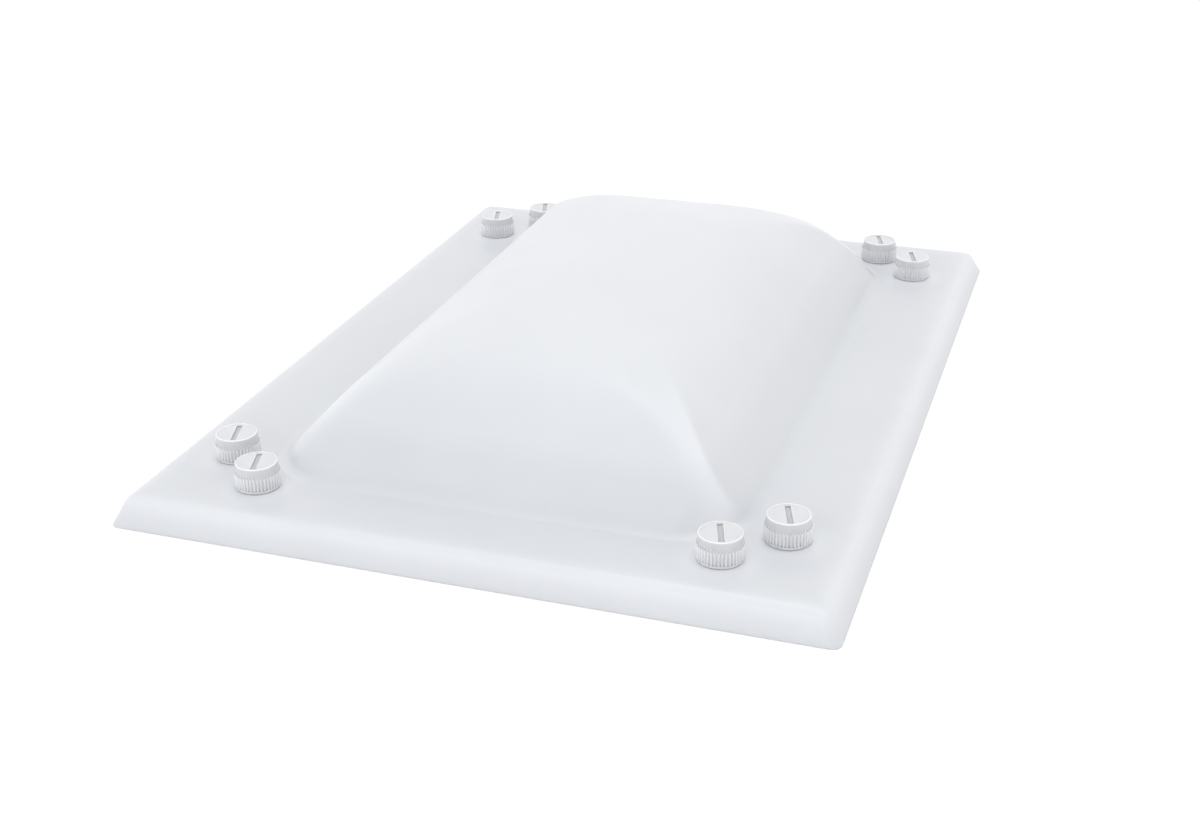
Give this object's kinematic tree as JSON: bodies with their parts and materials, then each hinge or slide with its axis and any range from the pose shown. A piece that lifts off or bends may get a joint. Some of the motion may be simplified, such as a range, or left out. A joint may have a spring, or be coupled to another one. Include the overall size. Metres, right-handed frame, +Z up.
{
  "type": "roof skylight",
  "caption": "Opal dome rooflight: formed skin with splayed lip and flat flange, held by sealed screws under ribbed screw caps at its corners.",
  "frame": {"origin": "middle of the plan, in the plane of the lip's lower edge", "axes": "+X across the short side, +Y along the long side, +Z up through the dome's crown"},
  "size_m": [0.595, 0.795, 0.123],
  "materials": {
    "opal_skin": "opal acrylic sheet, thermoformed, smooth gloss",
    "cap_plastic": "light grey moulded plastic, satin, fine ribs",
    "cap_base_plastic": "light grey moulded plastic, satin",
    "seal_rubber": "dark sealing rubber, matt",
    "screw_steel": "stainless steel, fine drawn finish"
  },
  "bodies": {
    "skylight": {"dome_skin": "opal_skin", "seal_washer_front_left_end": "seal_rubber", "seal_washer_front_left_side": "seal_rubber", "seal_washer_front_right_end": "seal_rubber", "seal_washer_front_right_side": "seal_rubber", "seal_washer_back_left_end": "seal_rubber", "seal_washer_back_left_side": "seal_rubber", "seal_washer_back_right_end": "seal_rubber", "seal_washer_back_right_side": "seal_rubber", "cap_base_front_left_end": "cap_base_plastic", "cap_base_front_left_side": "cap_base_plastic", "cap_base_front_right_end": "cap_base_plastic", "cap_base_front_right_side": "cap_base_plastic", "cap_base_back_left_end": "cap_base_plastic", "cap_base_back_left_side": "cap_base_plastic", "cap_base_back_right_end": "cap_base_plastic", "cap_base_back_right_side": "cap_base_plastic", "screw_front_left_end": "screw_steel", "screw_front_left_side": "screw_steel", "screw_front_right_end": "screw_steel", "screw_front_right_side": "screw_steel", "screw_back_left_end": "screw_steel", "screw_back_left_side": "screw_steel", "screw_back_right_end": "screw_steel", "screw_back_right_side": "screw_steel"},
    "liner_front_left_end": {"cap_liner_front_left_end": "seal_rubber"},
    "screw_cap_front_left_end": {"cap_front_left_end": "cap_plastic"},
    "liner_front_left_side": {"cap_liner_front_left_side": "seal_rubber"},
    "screw_cap_front_left_side": {"cap_front_left_side": "cap_plastic"},
    "liner_front_right_end": {"cap_liner_front_right_end": "seal_rubber"},
    "screw_cap_front_right_end": {"cap_front_right_end": "cap_plastic"},
    "liner_front_right_side": {"cap_liner_front_right_side": "seal_rubber"},
    "screw_cap_front_right_side": {"cap_front_right_side": "cap_plastic"},
    "liner_back_left_end": {"cap_liner_back_left_end": "seal_rubber"},
    "screw_cap_back_left_end": {"cap_back_left_end": "cap_plastic"},
    "liner_back_left_side": {"cap_liner_back_left_side": "seal_rubber"},
    "screw_cap_back_left_side": {"cap_back_left_side": "cap_plastic"},
    "liner_back_right_end": {"cap_liner_back_right_end": "seal_rubber"},
    "screw_cap_back_right_end": {"cap_back_right_end": "cap_plastic"},
    "liner_back_right_side": {"cap_liner_back_right_side": "seal_rubber"},
    "screw_cap_back_right_side": {"cap_back_right_side": "cap_plastic"}
  },
  "joints": [
    {"name": "cap_rise_front_left_end", "type": "slide", "parent": "skylight", "child": "liner_front_left_end", "axis": [0, 0, 1], "range_m": [0, 0.006]},
    {"name": "cap_turn_front_left_end", "type": "hinge", "parent": "liner_front_left_end", "child": "screw_cap_front_left_end", "pos_m": [-0.1935, -0.3355, 0.033], "axis": [0, 0, 1], "range_deg": [0, 540]},
    {"name": "cap_rise_front_left_side", "type": "slide", "parent": "skylight", "child": "liner_front_left_side", "axis": [0, 0, 1], "range_m": [0, 0.006]},
    {"name": "cap_turn_front_left_side", "type": "hinge", "parent": "liner_front_left_side", "child": "screw_cap_front_left_side", "pos_m": [-0.2355, -0.2935, 0.033], "axis": [0, 0, 1], "range_deg": [0, 540]},
    {"name": "cap_rise_front_right_end", "type": "slide", "parent": "skylight", "child": "liner_front_right_end", "axis": [0, 0, 1], "range_m": [0, 0.006]},
    {"name": "cap_turn_front_right_end", "type": "hinge", "parent": "liner_front_right_end", "child": "screw_cap_front_right_end", "pos_m": [0.1935, -0.3355, 0.033], "axis": [0, 0, 1], "range_deg": [0, 540]},
    {"name": "cap_rise_front_right_side", "type": "slide", "parent": "skylight", "child": "liner_front_right_side", "axis": [0, 0, 1], "range_m": [0, 0.006]},
    {"name": "cap_turn_front_right_side", "type": "hinge", "parent": "liner_front_right_side", "child": "screw_cap_front_right_side", "pos_m": [0.2355, -0.2935, 0.033], "axis": [0, 0, 1], "range_deg": [0, 540]},
    {"name": "cap_rise_back_left_end", "type": "slide", "parent": "skylight", "child": "liner_back_left_end", "axis": [0, 0, 1], "range_m": [0, 0.006]},
    {"name": "cap_turn_back_left_end", "type": "hinge", "parent": "liner_back_left_end", "child": "screw_cap_back_left_end", "pos_m": [-0.1935, 0.3355, 0.033], "axis": [0, 0, 1], "range_deg": [0, 540]},
    {"name": "cap_rise_back_left_side", "type": "slide", "parent": "skylight", "child": "liner_back_left_side", "axis": [0, 0, 1], "range_m": [0, 0.006]},
    {"name": "cap_turn_back_left_side", "type": "hinge", "parent": "liner_back_left_side", "child": "screw_cap_back_left_side", "pos_m": [-0.2355, 0.2935, 0.033], "axis": [0, 0, 1], "range_deg": [0, 540]},
    {"name": "cap_rise_back_right_end", "type": "slide", "parent": "skylight", "child": "liner_back_right_end", "axis": [0, 0, 1], "range_m": [0, 0.006]},
    {"name": "cap_turn_back_right_end", "type": "hinge", "parent": "liner_back_right_end", "child": "screw_cap_back_right_end", "pos_m": [0.1935, 0.3355, 0.033], "axis": [0, 0, 1], "range_deg": [0, 540]},
    {"name": "cap_rise_back_right_side", "type": "slide", "parent": "skylight", "child": "liner_back_right_side", "axis": [0, 0, 1], "range_m": [0, 0.006]},
    {"name": "cap_turn_back_right_side", "type": "hinge", "parent": "liner_back_right_side", "child": "screw_cap_back_right_side", "pos_m": [0.2355, 0.2935, 0.033], "axis": [0, 0, 1], "range_deg": [0, 540]}
  ],
  "couplings": [
    {"joint": "cap_rise_front_left_end", "follows": "cap_turn_front_left_end", "m_per_rad": 0.00063662},
    {"joint": "cap_rise_front_left_side", "follows": "cap_turn_front_left_side", "m_per_rad": 0.00063662},
    {"joint": "cap_rise_front_right_end", "follows": "cap_turn_front_right_end", "m_per_rad": 0.00063662},
    {"joint": "cap_rise_front_right_side", "follows": "cap_turn_front_right_side", "m_per_rad": 0.00063662},
    {"joint": "cap_rise_back_left_end", "follows": "cap_turn_back_left_end", "m_per_rad": 0.00063662},
    {"joint": "cap_rise_back_left_side", "follows": "cap_turn_back_left_side", "m_per_rad": 0.00063662},
    {"joint": "cap_rise_back_right_end", "follows": "cap_turn_back_right_end", "m_per_rad": 0.00063662},
    {"joint": "cap_rise_back_right_side", "follows": "cap_turn_back_right_side", "m_per_rad": 0.00063662}
  ]
}
